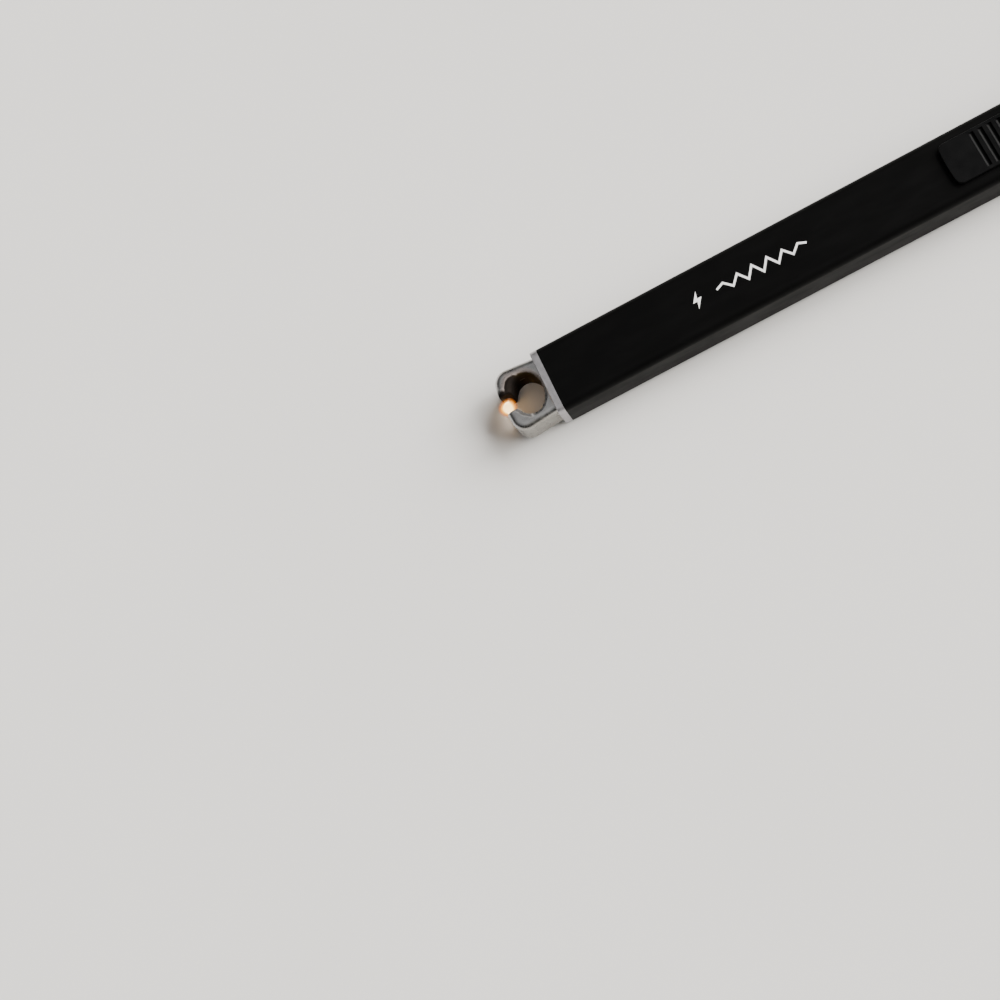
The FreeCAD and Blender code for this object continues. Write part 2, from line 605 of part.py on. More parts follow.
def make_battery_cell():
    body = block(CELL_REAR, CELL_FRONT, -CELL_HALF, CELL_HALF, CELL_Z0, CELL_Z1)
    long_edges = [e for e in body.Edges if e.BoundBox.XMax - e.BoundBox.XMin > 20]
    body = body.makeFillet(1.2, long_edges)
    seal = block(CELL_FRONT - 0.1, CELL_FRONT + 0.7, -CELL_HALF + 0.6, CELL_HALF - 0.6,
                 4.0, 4.4)
    return body.fuse(seal).removeSplitter()


def make_battery_foam():
    pad = block(CELL_REAR + 4, CELL_FRONT - 4, -3.4, 3.4, CELL_Z1 + 0.02, ROOF_Z - 0.1)
    upright = [e for e in pad.Edges if e.BoundBox.ZMax - e.BoundBox.ZMin > 0.9]
    return pad.makeFillet(1.0, upright)


def make_battery_lead(side):
    y = side * 1.7
    points = [Vec(CELL_REAR - 0.03, y, 6.2), Vec(CELL_REAR - 1.0, y, 6.2),
              Vec(BOARD_FRONT + 1.2, y, 6.4), Vec(BOARD_FRONT - 0.4, y, 6.2),
              Vec(BOARD_FRONT - 0.8, y, BOARD_Z1 + 0.5), Vec(BOARD_FRONT - 1.9, y, BOARD_Z1 + 0.5)]
    return wire(points, 0.4)


# ---------------------------------------------------------------- circuit board
def make_circuit_board():
    board = block(BOARD_REAR, BOARD_FRONT, -BOARD_HALF, BOARD_HALF, BOARD_Z0 + 0.02, BOARD_Z1)
    for side in (-1, 1):
        notch = rod(Vec(BOARD_FRONT - 26.0, side * BOARD_HALF, BOARD_Z0 - 1),
                    Vec(BOARD_FRONT - 26.0, side * BOARD_HALF, BOARD_Z1 + 1), 0.6)
        board = board.cut(notch)
        via = rod(Vec(BOARD_FRONT - 5.0, side * 3.0, BOARD_Z0 - 1),
                  Vec(BOARD_FRONT - 5.0, side * 3.0, BOARD_Z1 + 1), 0.45)
        board = board.cut(via)
    return board


def gull_wing_chip(x, y, length, width, height, legs, pitch):
    """Chip with straight legs on its two long sides, standing on the board."""
    body = block(x - length / 2, x + length / 2, y - width / 2, y + width / 2,
                 BOARD_Z1 + 0.1, BOARD_Z1 + height)
    parts = []
    for i in range(legs):
        leg_x = x + (i - (legs - 1) / 2) * pitch
        for side in (-1, 1):
            near, far = sorted((y + side * (width / 2 - 0.1), y + side * (width / 2 + 0.7)))
            parts.append(block(leg_x - 0.2, leg_x + 0.2, near, far, BOARD_Z1, BOARD_Z1 + 0.45))
    return body.fuse(parts).removeSplitter()


def make_controller_chip():
    return gull_wing_chip(behind(139.0), 0, 5.0, 4.0, 1.5, 4, 1.27)


def make_charger_chip():
    return gull_wing_chip(behind(146.0), 2.9, 2.9, 1.7, 1.2, 3, 0.95)


def make_power_transistors():
    return Part.makeCompound([gull_wing_chip(behind(85.2), side * 2.9, 3.0, 2.2, 1.2, 2, 1.9)
                              for side in (-1, 1)])


def make_chip_resistors():
    chips = []
    for row in range(2):
        for i in range(4):
            x = behind(133.2) - row * 1.6
            y = -4.2 + i * 2.8
            chips.append(block(x - 0.4, x + 0.4, y - 0.8, y + 0.8, BOARD_Z1, BOARD_Z1 + 0.45))
    return Part.makeCompound(chips)


def make_chip_capacitors():
    chips = []
    for i, x in enumerate((behind(143.6), behind(145.6), behind(147.6))):
        chips.append(block(x - 0.5, x + 0.5, -4.6, -3.0, BOARD_Z1, BOARD_Z1 + 0.85))
        chips.append(block(x - 0.5, x + 0.5, -2.2, -0.6, BOARD_Z1, BOARD_Z1 + 0.85))
    return Part.makeCompound(chips)


def make_bulk_capacitor():
    x = behind(116.5)
    body = block(x - 3.4, x + 3.4, -2.1, 2.1, BOARD_Z0 - 2.0, BOARD_Z0)
    feet = [block(x + end * 3.4 - 0.25, x + end * 3.4 + 0.25, -1.2, 1.2, BOARD_Z0 - 1.2, BOARD_Z0)
            for end in (-1, 1)]
    return body.fuse(feet).removeSplitter()


def make_indicator_leds():
    return Part.makeCompound([block(x - 0.8, x + 0.8, -0.6, 0.6, BOARD_Z1, BOARD_Z1 + 0.6)
                              for x in LIGHT_XS])


def make_light_pipe():
    first, last = LIGHT_XS[0], LIGHT_XS[-1]
    pipe = block(last - 1.5, first + 1.5, -1.3, 1.3, 7.1, ROOF_Z - 0.02)
    parts = []
    for x in LIGHT_XS:
        parts.append(rod(Vec(x, 0, BOARD_Z1 + 0.7), Vec(x, 0, 7.2), 0.75))
        parts.append(rod(Vec(x, 0, ROOF_Z - 0.1), Vec(x, 0, FACE_Z - 0.05), LIGHT_HOLE_R - FIT_GAP))
    for x in (last - 1.1, first + 1.1):
        for side in (-1, 1):
            parts.append(rod(Vec(x, side * 0.8, BOARD_Z1), Vec(x, side * 0.8, 7.2), 0.35))
    return pipe.fuse(parts).removeSplitter()


# ---------------------------------------------------------------- charging socket
USB_WIDTH = 8.94
USB_HEIGHT = 3.26
USB_SHEET = 0.3
USB_MOUTH = TAIL_END + 0.25
USB_REAR = USB_MOUTH + 7.3


def make_usb_shell():
    shell = bar(USB_MOUTH, USB_REAR, USB_WIDTH, USB_HEIGHT, USB_HEIGHT / 2 - 0.05)
    hollow = bar(USB_MOUTH - 1, USB_REAR + 1, USB_WIDTH - 2 * USB_SHEET,
                 USB_HEIGHT - 2 * USB_SHEET, USB_HEIGHT / 2 - USB_SHEET - 0.05)
    return shell.cut(hollow)


def make_usb_moulding():
    plug = bar(USB_REAR - 1.6, USB_REAR, USB_WIDTH - 2 * USB_SHEET - 0.06,
               USB_HEIGHT - 2 * USB_SHEET - 0.06, USB_HEIGHT / 2 - USB_SHEET - 0.1)
    tongue = block(USB_MOUTH + 0.9, USB_REAR - 1.5, -3.35, 3.35, MID_Z - 0.35, MID_Z + 0.35)
    return plug.fuse(tongue).removeSplitter()


def make_usb_contacts():
    pads = []
    for i in range(12):
        y = (i - 5.5) * 0.5
        for side in (-1, 1):
            low, high = sorted((MID_Z + side * 0.35, MID_Z + side * 0.42))
            pads.append(block(USB_MOUTH + 1.3, USB_REAR - 1.65, y - 0.13, y + 0.13, low, high))
    return Part.makeCompound(pads)


# ---------------------------------------------------------------- tail cap
CAP_PLUG = 4.6
CAP_SCREW_HEAD_R = 0.95


def make_tail_cap():
    lip = bar(TAIL_END, TUBE_REAR, TUBE_WIDTH, TUBE_THICK, TUBE_CORNER)
    rim = [e for e in lip.Edges if e.BoundBox.XMax < TAIL_END + 0.01]
    lip = lip.makeFillet(0.6, rim)
    plug = bar(TUBE_REAR - 0.1, TUBE_REAR + CAP_PLUG, INNER_WIDTH, INNER_HEIGHT, INNER_CORNER)
    cap = lip.fuse(plug)
    mouth = bar(TAIL_END - 1, TUBE_REAR + CAP_PLUG + 1, USB_WIDTH + 0.1, USB_HEIGHT + 0.1,
                USB_HEIGHT / 2)
    cap = cap.cut(mouth)
    for side in (-1, 1):
        y = side * CAP_SCREW_Y
        cap = cap.cut(rod(Vec(TAIL_END - 1, y, CAP_SCREW_Z),
                          Vec(TUBE_REAR + CAP_PLUG + 1, y, CAP_SCREW_Z), CAP_SCREW_R + 0.05))
        cap = cap.cut(rod(Vec(TAIL_END - 1, y, CAP_SCREW_Z),
                          Vec(TAIL_END + 0.9, y, CAP_SCREW_Z), CAP_SCREW_HEAD_R + 0.08))
    return cap.removeSplitter()


def make_tail_cap_screws():
    screws = []
    for side in (-1, 1):
        tip = Vec(TRAY_REAR + 4.8, side * CAP_SCREW_Y, CAP_SCREW_Z)
        top = Vec(TAIL_END + 0.2, side * CAP_SCREW_Y, CAP_SCREW_Z)
        screws.append(screw(tip, top, CAP_SCREW_R, CAP_SCREW_HEAD_R, 0.68))
    return Part.makeCompound(screws)


# ---------------------------------------------------------------- nodes
NODES = {
    "body_tube": make_body_tube(),
    "arc_head": make_arc_head(),
    "head_plate": make_head_plate(),
    "insulator_left": make_insulator(1),
    "insulator_right": make_insulator(-1),
    "electrode_left": make_electrode(1),
    "electrode_right": make_electrode(-1),
    "hv_lead_left": make_hv_lead(1),
    "hv_lead_right": make_hv_lead(-1),
    "inner_tray": make_inner_tray(),
    "head_screws": make_head_screws(),
    "transformer_case": make_transformer_case(),
    "transformer_bobbin": make_transformer_bobbin(),
    "secondary_winding": make_secondary_winding(),
    "primary_winding": make_primary_winding(),
    "ferrite_core": make_ferrite_core(),
    "potting_lid": make_potting_lid(),
    "primary_lead_left": make_primary_lead(1),
    "primary_lead_right": make_primary_lead(-1),
    "battery_cell": make_battery_cell(),
    "battery_foam": make_battery_foam(),
    "battery_lead_red": make_battery_lead(1),
    "battery_lead_black": make_battery_lead(-1),
    "circuit_board": make_circuit_board(),
    "controller_chip": make_controller_chip(),
    "charger_chip": make_charger_chip(),
    "power_transistors": make_power_transistors(),
    "chip_resistors": make_chip_resistors(),
    "chip_capacitors": make_chip_capacitors(),
    "bulk_capacitor": make_bulk_capacitor(),
    "indicator_leds": make_indicator_leds(),
    "light_pipe": make_light_pipe(),
    "switch_case": make_switch_case(),
    "switch_base": make_switch_base(),
    "switch_actuator": make_switch_actuator(),
    "slider_carriage": make_slider_carriage(),
    "thumb_slider": make_thumb_slider(),
    "detent_spring": make_detent_spring(),
    "usb_shell": make_usb_shell(),
    "usb_moulding": make_usb_moulding(),
    "usb_contacts": make_usb_contacts(),
    "tail_cap": make_tail_cap(),
    "tail_cap_screws": make_tail_cap_screws(),
}


def main():
    os.makedirs("parts", exist_ok=True)
    for name, shape in NODES.items():
        shape.exportStep(os.path.join("parts", name + ".step"))
        print(name, "solids", len(shape.Solids), "valid", shape.isValid(),
              "volume", round(shape.Volume, 2))


main()
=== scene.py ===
import json
import math

import bmesh
import bpy
from mathutils import Matrix, Vector


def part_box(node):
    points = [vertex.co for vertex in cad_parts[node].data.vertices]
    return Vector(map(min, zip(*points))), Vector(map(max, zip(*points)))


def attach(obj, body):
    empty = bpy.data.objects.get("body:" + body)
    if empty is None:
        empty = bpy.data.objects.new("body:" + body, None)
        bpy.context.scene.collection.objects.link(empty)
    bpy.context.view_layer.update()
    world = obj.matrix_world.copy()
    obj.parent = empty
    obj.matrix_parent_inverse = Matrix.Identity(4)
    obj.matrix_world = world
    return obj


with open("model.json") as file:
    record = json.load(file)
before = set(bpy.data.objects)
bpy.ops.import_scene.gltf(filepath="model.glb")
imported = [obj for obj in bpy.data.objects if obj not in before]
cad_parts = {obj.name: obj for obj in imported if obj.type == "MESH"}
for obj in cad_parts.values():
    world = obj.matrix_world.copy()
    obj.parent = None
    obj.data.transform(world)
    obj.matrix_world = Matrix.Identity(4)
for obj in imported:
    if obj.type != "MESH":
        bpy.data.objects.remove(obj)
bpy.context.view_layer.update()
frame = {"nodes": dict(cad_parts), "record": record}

# The looks of a slim electric arc lighter, in metres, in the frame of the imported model:
# +X towards the arc tip, +Z out of the face with the thumb slider, back face on z = 0.

MM = 0.001
tube_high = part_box("body_tube")[1]
TUBE_FRONT = tube_high.x
FACE_Z = tube_high.z
MID_Z = tube_high.z / 2

# The window's oval in the head, round the middle of the opening that the record states.
arc_window = frame["record"]["physics"]["openings"][0]["box_m"]
WINDOW_CENTRE = (arc_window[0][0] + arc_window[1][0]) / 2
WINDOW_HALF_LENGTH = 3.4 * MM
WINDOW_HALF_WIDTH = 4.5 * MM
FINGER_END_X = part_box("electrode_right")[1].x
FINGER_END_Y = 1.6 * MM

# ---------------------------------------------------------------- node helpers


class Look:
    """A node material with one Principled shader and short calls for common nodes."""

    # The Mix node holds float, vector and colour sockets in one list: these are the colour ones.
    COLOUR_A = 6
    COLOUR_B = 7
    COLOUR_RESULT = 2

    def __init__(self, name):
        self.material = bpy.data.materials.new(name)
        self.material.use_nodes = True
        self.tree = self.material.node_tree
        self.shader = self.tree.nodes["Principled BSDF"]
        self.coords = self.add("ShaderNodeTexCoord").outputs["Object"]

    def add(self, kind, **settings):
        node = self.tree.nodes.new(kind)
        for key, value in settings.items():
            setattr(node, key, value)
        return node

    def put(self, value, socket):
        """Joins a socket to another, or sets it if value is a plain number or colour."""
        if isinstance(value, bpy.types.NodeSocket):
            self.tree.links.new(value, socket)
        else:
            socket.default_value = value

    def set(self, **values):
        """Sets or joins the shader's own sockets: base_color=..., roughness=..., and so on."""
        for key, value in values.items():
            self.put(value, self.shader.inputs[key.replace("_", " ").title()])

    def noise(self, size_mm, detail=3.0, roughness=0.5, coords=None):
        """Noise from 0 to 1 whose blobs are about size_mm across."""
        node = self.add("ShaderNodeTexNoise")
        self.put(coords or self.coords, node.inputs["Vector"])
        node.inputs["Scale"].default_value = 1 / (size_mm * MM)
        node.inputs["Detail"].default_value = detail
        node.inputs["Roughness"].default_value = roughness
        return node.outputs["Fac"]

    def stretched(self, x, y, z):
        """Object coordinates scaled per axis, for grain that runs one way."""
        node = self.add("ShaderNodeMapping")
        self.put(self.coords, node.inputs["Vector"])
        node.inputs["Scale"].default_value = (x, y, z)
        return node.outputs["Vector"]

    def cells(self, size_mm, feature="F1"):
        node = self.add("ShaderNodeTexVoronoi", feature=feature)
        self.put(self.coords, node.inputs["Vector"])
        node.inputs["Scale"].default_value = 1 / (size_mm * MM)
        return node.outputs["Distance"]

    def math(self, operation, a, b=0.0, clamp=False):
        node = self.add("ShaderNodeMath", operation=operation, use_clamp=clamp)
        self.put(a, node.inputs[0])
        self.put(b, node.inputs[1])
        return node.outputs[0]

    def span(self, value, low, high, to_low=0.0, to_high=1.0):
        """Maps value smoothly from low..high to to_low..to_high."""
        node = self.add("ShaderNodeMapRange", interpolation_type="SMOOTHSTEP")
        self.put(value, node.inputs["Value"])
        for key, number in (("From Min", low), ("From Max", high),
                            ("To Min", to_low), ("To Max", to_high)):
            self.put(number, node.inputs[key])
        return node.outputs["Result"]

    def mix(self, share, first, second):
        """Blends two colours."""
        node = self.add("ShaderNodeMix", data_type="RGBA")
        self.put(share, node.inputs["Factor"])
        self.put(first, node.inputs[self.COLOUR_A])
        self.put(second, node.inputs[self.COLOUR_B])
        return node.outputs[self.COLOUR_RESULT]

    def axes(self):
        node = self.add("ShaderNodeSeparateXYZ")
        self.put(self.coords, node.inputs[0])
        return node.outputs

    def length(self, a, b):
        """Length of the vector whose two parts are a and b."""
        squares = [self.math("POWER", part, 2.0) for part in (a, b)]
        return self.math("SQRT", self.math("ADD", *squares))

    def bump(self, height, depth_mm, strength=1.0, normal=None):
        """Feeds the shader's normal; calls chain when the first one's output is passed on."""
        node = self.add("ShaderNodeBump")
        node.inputs["Strength"].default_value = strength
        node.inputs["Distance"].default_value = depth_mm * MM
        self.put(height, node.inputs["Height"])
        if normal is not None:
            self.put(normal, node.inputs["Normal"])
        self.put(node.outputs["Normal"], self.shader.inputs["Normal"])
        return node.outputs["Normal"]


def grey(value):
    return (value, value, value, 1.0)


# ---------------------------------------------------------------- materials


def coated_metal(name, dark, light, roughness):
    """Matte coating with a fine tooth, faint handling marks and slightly rubbed long edges."""
    look = Look(name)
    tooth = look.noise(0.09, 2.0)
    cloud = look.noise(14.0, 3.0)
    smear = look.noise(3.0, 4.0, 0.6, look.stretched(0.25, 1.0, 1.0))
    colour = look.mix(look.span(tooth, 0.3, 0.7), dark, light)
    colour = look.mix(look.math("MULTIPLY", cloud, 0.25), colour, light)
    y, z = look.axes()[1:]
    half_width = tube_high.y
    edge_y = look.span(look.math("ABSOLUTE", y), half_width - 0.8 * MM, half_width - 0.15 * MM)
    off_mid = look.math("ABSOLUTE", look.math("SUBTRACT", z, MID_Z))
    edge_z = look.span(off_mid, MID_Z - 0.8 * MM, MID_Z - 0.15 * MM)
    rubbed = look.math("MULTIPLY", look.math("MULTIPLY", edge_y, edge_z),
                       look.span(look.noise(0.8, 4.0, 0.7), 0.52, 0.75))
    colour = look.mix(look.math("MULTIPLY", rubbed, 0.3), colour, grey(0.03))
    look.set(base_color=colour)
    rough = look.span(smear, 0.35, 0.7, roughness - 0.05, roughness + 0.06)
    look.set(roughness=rough)
    look.shader.inputs["Specular IOR Level"].default_value = 0.055
    fine = look.bump(tooth, 0.006, 0.35)
    look.bump(look.noise(0.5, 3.0), 0.01, 0.12, fine)
    return look.material


def cast_metal(name):
    """Satin die-cast claws, sooted round the window and browned where the arc burns, with painted
    light: shade on the long sides, a warm arc glow and a dark reflection at the rim.
    """
    look = Look(name)
    x, y = look.axes()[:2]
    cloud = look.noise(2.2, 3.0)
    metal_and_painted_sides = look.mix(look.span(cloud, 0.3, 0.7), (0.40, 0.395, 0.39, 1), (0.52, 0.515, 0.51, 1))
    # The long sides are painted duller, darker and yellower than the top: painted shade and a painted
    # warm reflection.
    side = look.span(look.math("ABSOLUTE", y), 5.6 * MM, 6.6 * MM)
    metal_and_painted_sides = look.mix(look.math("MULTIPLY", side, 0.75), metal_and_painted_sides, (0.26, 0.245, 0.215, 1))

    # How far out of the oval window a point lies, made a little ragged: 1 on the window's wall.
    ragged = look.math("SUBTRACT", look.noise(0.6, 5.0, 0.65), 0.5)
    ahead = look.math("SUBTRACT", x, WINDOW_CENTRE)
    ring = look.length(look.math("DIVIDE", ahead, WINDOW_HALF_LENGTH),
                       look.math("DIVIDE", y, WINDOW_HALF_WIDTH))
    ring = look.math("ADD", ring, look.math("MULTIPLY", ragged, 0.14))
    uneven_y = look.math("ADD", y, look.math("MULTIPLY", ragged, 2.0 * MM))

    # The claw on the -Y side is black on its inner wall and over its finger's end.
    limit = look.span(ahead, 0.2 * MM, 3.0 * MM, 1.10, 1.38)
    over = look.math("SUBTRACT", ring, limit)
    wall_soot = look.math("MULTIPLY", look.span(over, -0.08, 0.04, 1.0, 0.0),
                          look.span(uneven_y, -0.6 * MM, 1.0 * MM, 1.0, 0.0))
    to_finger = look.length(look.math("SUBTRACT", x, FINGER_END_X), look.math("ADD", y, FINGER_END_Y))
    to_finger = look.math("ADD", to_finger, look.math("MULTIPLY", ragged, 1.6 * MM))
    finger_soot = look.span(to_finger, 1.0 * MM, 2.6 * MM, 1.0, 0.0)
    # The other claw has only a dark crescent on the window's rim: a painted dark reflection in the
    # rim's rounding.
    painted_rim_reflection = look.math("MULTIPLY", look.span(ring, 1.18, 1.27, 1.0, 0.0),
                         look.span(ahead, 0.4 * MM, 1.4 * MM))
    # Soot and burn marks together with the crescent's painted dark reflection.
    soot_and_painted_rim = look.math("MAXIMUM", look.math("MAXIMUM", wall_soot, finger_soot),
                     look.math("MULTIPLY", painted_rim_reflection, 0.9))

    brown = look.mix(look.noise(0.5, 4.0), (0.026, 0.017, 0.007, 1), (0.065, 0.044, 0.016, 1))
    black = look.mix(look.noise(0.4, 4.0), grey(0.003), (0.012, 0.008, 0.006, 1))
    burnt = look.mix(look.span(ahead, -1.2 * MM, 1.6 * MM), brown, black)
    # A pinkish band on the -Y claw just outside the soot: a painted warm glow of the arc's light on
    # the rim.
    painted_arc_glow = look.math("MULTIPLY", look.span(over, 0.02, 0.25, 1.0, 0.0),
                     look.span(uneven_y, -1.5 * MM, 0.5 * MM, 1.0, 0.0))
    metal_with_painted_light = look.mix(look.math("MULTIPLY", painted_arc_glow, 0.45), metal_and_painted_sides, (0.56, 0.42, 0.36, 1))
    look.set(base_color=look.mix(soot_and_painted_rim, metal_with_painted_light, burnt))
    look.set(metallic=look.span(soot_and_painted_rim, 0.2, 0.8, 1.0, 0.0))
    look.shader.inputs["Specular IOR Level"].default_value = 0.08

    satin = look.span(look.noise(0.9, 4.0, 0.6), 0.3, 0.7, 0.25, 0.36)
    look.set(roughness=look.math("ADD", satin, look.math("MULTIPLY", soot_and_painted_rim, 0.6), clamp=True))
    look.bump(look.noise(0.2, 4.0, 0.6), 0.02, 0.3)
    return look.material


def satin_plate(name):
    """Bead-blasted end plate: rougher and slightly cooler than the claws, with fine tooth."""
    look = Look(name)
    tooth = look.noise(0.11, 3.0, 0.6)
    cloud = look.noise(1.8, 3.0)
    colour = look.mix(look.span(tooth, 0.3, 0.7), (0.36, 0.35, 0.365, 1), (0.50, 0.485, 0.50, 1))
    look.set(base_color=look.mix(look.math("MULTIPLY", cloud, 0.4), colour, (0.34, 0.33, 0.34, 1)))
    look.shader.inputs["Metallic"].default_value = 1.0
    look.set(roughness=look.span(look.noise(0.7, 3.0), 0.3, 0.7, 0.38, 0.50))
    fine = look.bump(tooth, 0.015, 0.5)
    look.bump(look.noise(0.5, 3.0), 0.02, 0.2, fine)
    return look.material


def moulded_plastic(name, dark, light, roughness, tooth_mm=0.14, depth_mm=0.01, specular=0.45):
    """Fine spark-eroded moulding texture with slight colour and gloss variation."""
    look = Look(name)
    tooth = look.noise(tooth_mm, 3.0, 0.6)
    cloud = look.noise(6.0, 2.0)
    colour = look.mix(look.span(tooth, 0.3, 0.7), dark, light)
    look.set(base_color=look.mix(look.math("MULTIPLY", cloud, 0.3), colour, dark))
    look.set(roughness=look.span(look.noise(2.5, 3.0), 0.3, 0.7, roughness - 0.05, roughness + 0.05))
    look.shader.inputs["Specular IOR Level"].default_value = specular
    look.bump(tooth, depth_mm, 0.5)
    return look.material


def plain_metal(name, dark, light, roughness, grain=(1.0, 1.0, 1.0), grain_mm=0.2):
    """Bare or plated metal with a directional grain."""
    look = Look(name)
    lines = look.noise(grain_mm, 3.0, 0.5, look.stretched(*grain))
    look.set(base_color=look.mix(look.span(lines, 0.3, 0.7), dark, light))
    look.shader.inputs["Metallic"].default_value = 1.0
    look.set(roughness=look.span(look.noise(1.5, 3.0), 0.3, 0.7, roughness - 0.06, roughness + 0.06))
    look.bump(lines, 0.004, 0.3)
    return look.material


def fired_ceramic(name):
    """Unglazed alumina, browned inside the claws where the arc burns."""
    look = Look(name)
    x = look.axes()[0]
    grain = look.noise(0.12, 4.0, 0.6)
    body = look.mix(grain, (0.70, 0.66, 0.58, 1), (0.84, 0.81, 0.74, 1))
    burn = look.span(look.math("ADD", x, look.math("MULTIPLY", grain, 0.6 * MM)),
                     TUBE_FRONT + 1.0 * MM, TUBE_FRONT + 2.5 * MM)
    look.set(base_color=look.mix(look.math("MULTIPLY", burn, 0.97), body, (0.02, 0.013, 0.007, 1)))
    look.shader.inputs["Roughness"].default_value = 0.6
    look.bump(grain, 0.01, 0.4)
    return look.material


def electrode_metal(name):
    """Heat-darkened electrode; its very tip gets a painted dull orange glow."""
    look = Look(name)
    y = look.axes()[1]
    scale = look.noise(0.1, 4.0, 0.6)
    look.set(base_color=look.mix(scale, (0.20, 0.17, 0.15, 1), (0.42, 0.38, 0.34, 1)))
    look.shader.inputs["Metallic"].default_value = 1.0
    look.set(roughness=look.span(scale, 0.3, 0.7, 0.35, 0.55))
    # Painted glow: emission lights the electrode's tip dull orange.
    painted_tip_glow = look.span(look.math("ABSOLUTE", y), 1.45 * MM, 1.75 * MM, 3.0, 0.0)
    look.shader.inputs["Emission Color"].default_value = (1.0, 0.42, 0.12, 1)
    look.put(painted_tip_glow, look.shader.inputs["Emission Strength"])
    look.bump(scale, 0.01, 0.5)
    return look.material


def white_ink(name):
    """Screen-printed white ink, a little uneven."""
    look = Look(name)
    speckle = look.noise(0.12, 4.0, 0.7)
    look.set(base_color=look.mix(look.span(speckle, 0.3, 0.62), grey(0.60), grey(0.86)))
    look.shader.inputs["Roughness"].default_value = 0.5
    look.bump(speckle, 0.004, 0.4)
    return look.material


def clear_acrylic(name):
    look = Look(name)
    haze = look.noise(0.6, 3.0)
    look.set(base_color=look.mix(haze, (0.86, 0.90, 0.92, 1), (0.95, 0.97, 0.98, 1)))
    look.set(roughness=look.span(haze, 0.3, 0.7, 0.12, 0.3))
    look.shader.inputs["Transmission Weight"].default_value = 0.85
    look.shader.inputs["IOR"].default_value = 1.49
    return look.material


def circuit_green(name):
    """Solder mask with faint traces under it."""
    look = Look(name)
    traces = look.span(look.cells(1.6, "DISTANCE_TO_EDGE"), 0.05, 0.09)
    look.set(base_color=look.mix(traces, (0.03, 0.20, 0.07, 1), (0.008, 0.075, 0.030, 1)))
    look.shader.inputs["Roughness"].default_value = 0.3
    look.bump(traces, 0.02, 0.5)
    return look.material


def wound_copper(name):
    """Fine enamelled wire wound round the X axis."""
    look = Look(name)
    wave = look.add("ShaderNodeTexWave", wave_type="BANDS", bands_direction="X")
    look.put(look.coords, wave.inputs["Vector"])
    wave.inputs["Scale"].default_value = 1 / (0.9 * MM)
    wave.inputs["Distortion"].default_value = 0.4
    turns = wave.outputs["Fac"]
    look.set(base_color=look.mix(turns, (0.26, 0.08, 0.025, 1), (0.66, 0.26, 0.09, 1)))
    look.shader.inputs["Metallic"].default_value = 0.9
    look.shader.inputs["Roughness"].default_value = 0.32
    look.bump(turns, 0.05, 0.7)
    return look.material


def pouch_foil(name):
    look = Look(name)
    crease = look.noise(2.6, 5.0, 0.6)
    look.set(base_color=look.mix(crease, (0.50, 0.51, 0.53, 1), (0.68, 0.69, 0.71, 1)))
    look.shader.inputs["Metallic"].default_value = 0.9
    look.set(roughness=look.span(crease, 0.3, 0.7, 0.22, 0.4))
    look.bump(crease, 0.12, 0.5)
    return look.material


def soft_foam(name):
    look = Look(name)
    pores = look.cells(0.35)
    look.set(base_color=look.mix(pores, grey(0.03), grey(0.09)))
    look.shader.inputs["Roughness"].default_value = 0.9
    look.bump(pores, 0.1, 0.8)
    return look.material


def glowing(name, colour, strength, opacity=1.0):
    """The arc's own light; the halo lets part of what is behind it through."""
    look = Look(name)
    flicker = look.span(look.noise(0.8, 2.0), 0.3, 0.7, 0.85 * strength, 1.1 * strength)
    look.shader.inputs["Base Color"].default_value = (0, 0, 0, 1)
    look.shader.inputs["Roughness"].default_value = 1.0
    look.shader.inputs["Specular IOR Level"].default_value = 0.0
    look.shader.inputs["Emission Color"].default_value = colour
    look.put(flicker, look.shader.inputs["Emission Strength"])
    look.shader.inputs["Alpha"].default_value = opacity
    return look.material


def pale_floor(name):
    look = Look(name)
    cloud = look.noise(60.0, 2.0)
    look.set(base_color=look.mix(cloud, (0.70, 0.69, 0.67, 1), (0.74, 0.73, 0.71, 1)))
    look.shader.inputs["Roughness"].default_value = 0.75
    look.shader.inputs["Specular IOR Level"].default_value = 0.2
    look.bump(look.noise(1.5, 3.0), 0.05, 0.15)
    return look.material


# ---------------------------------------------------------------- finishes on the CAD nodes


def paint(material, *nodes):
    """Gives CAD nodes their finish, in every material slot they have."""
    for node in nodes:
        mesh = frame["nodes"][node].data
        mesh.materials.clear()
        mesh.materials.append(material)


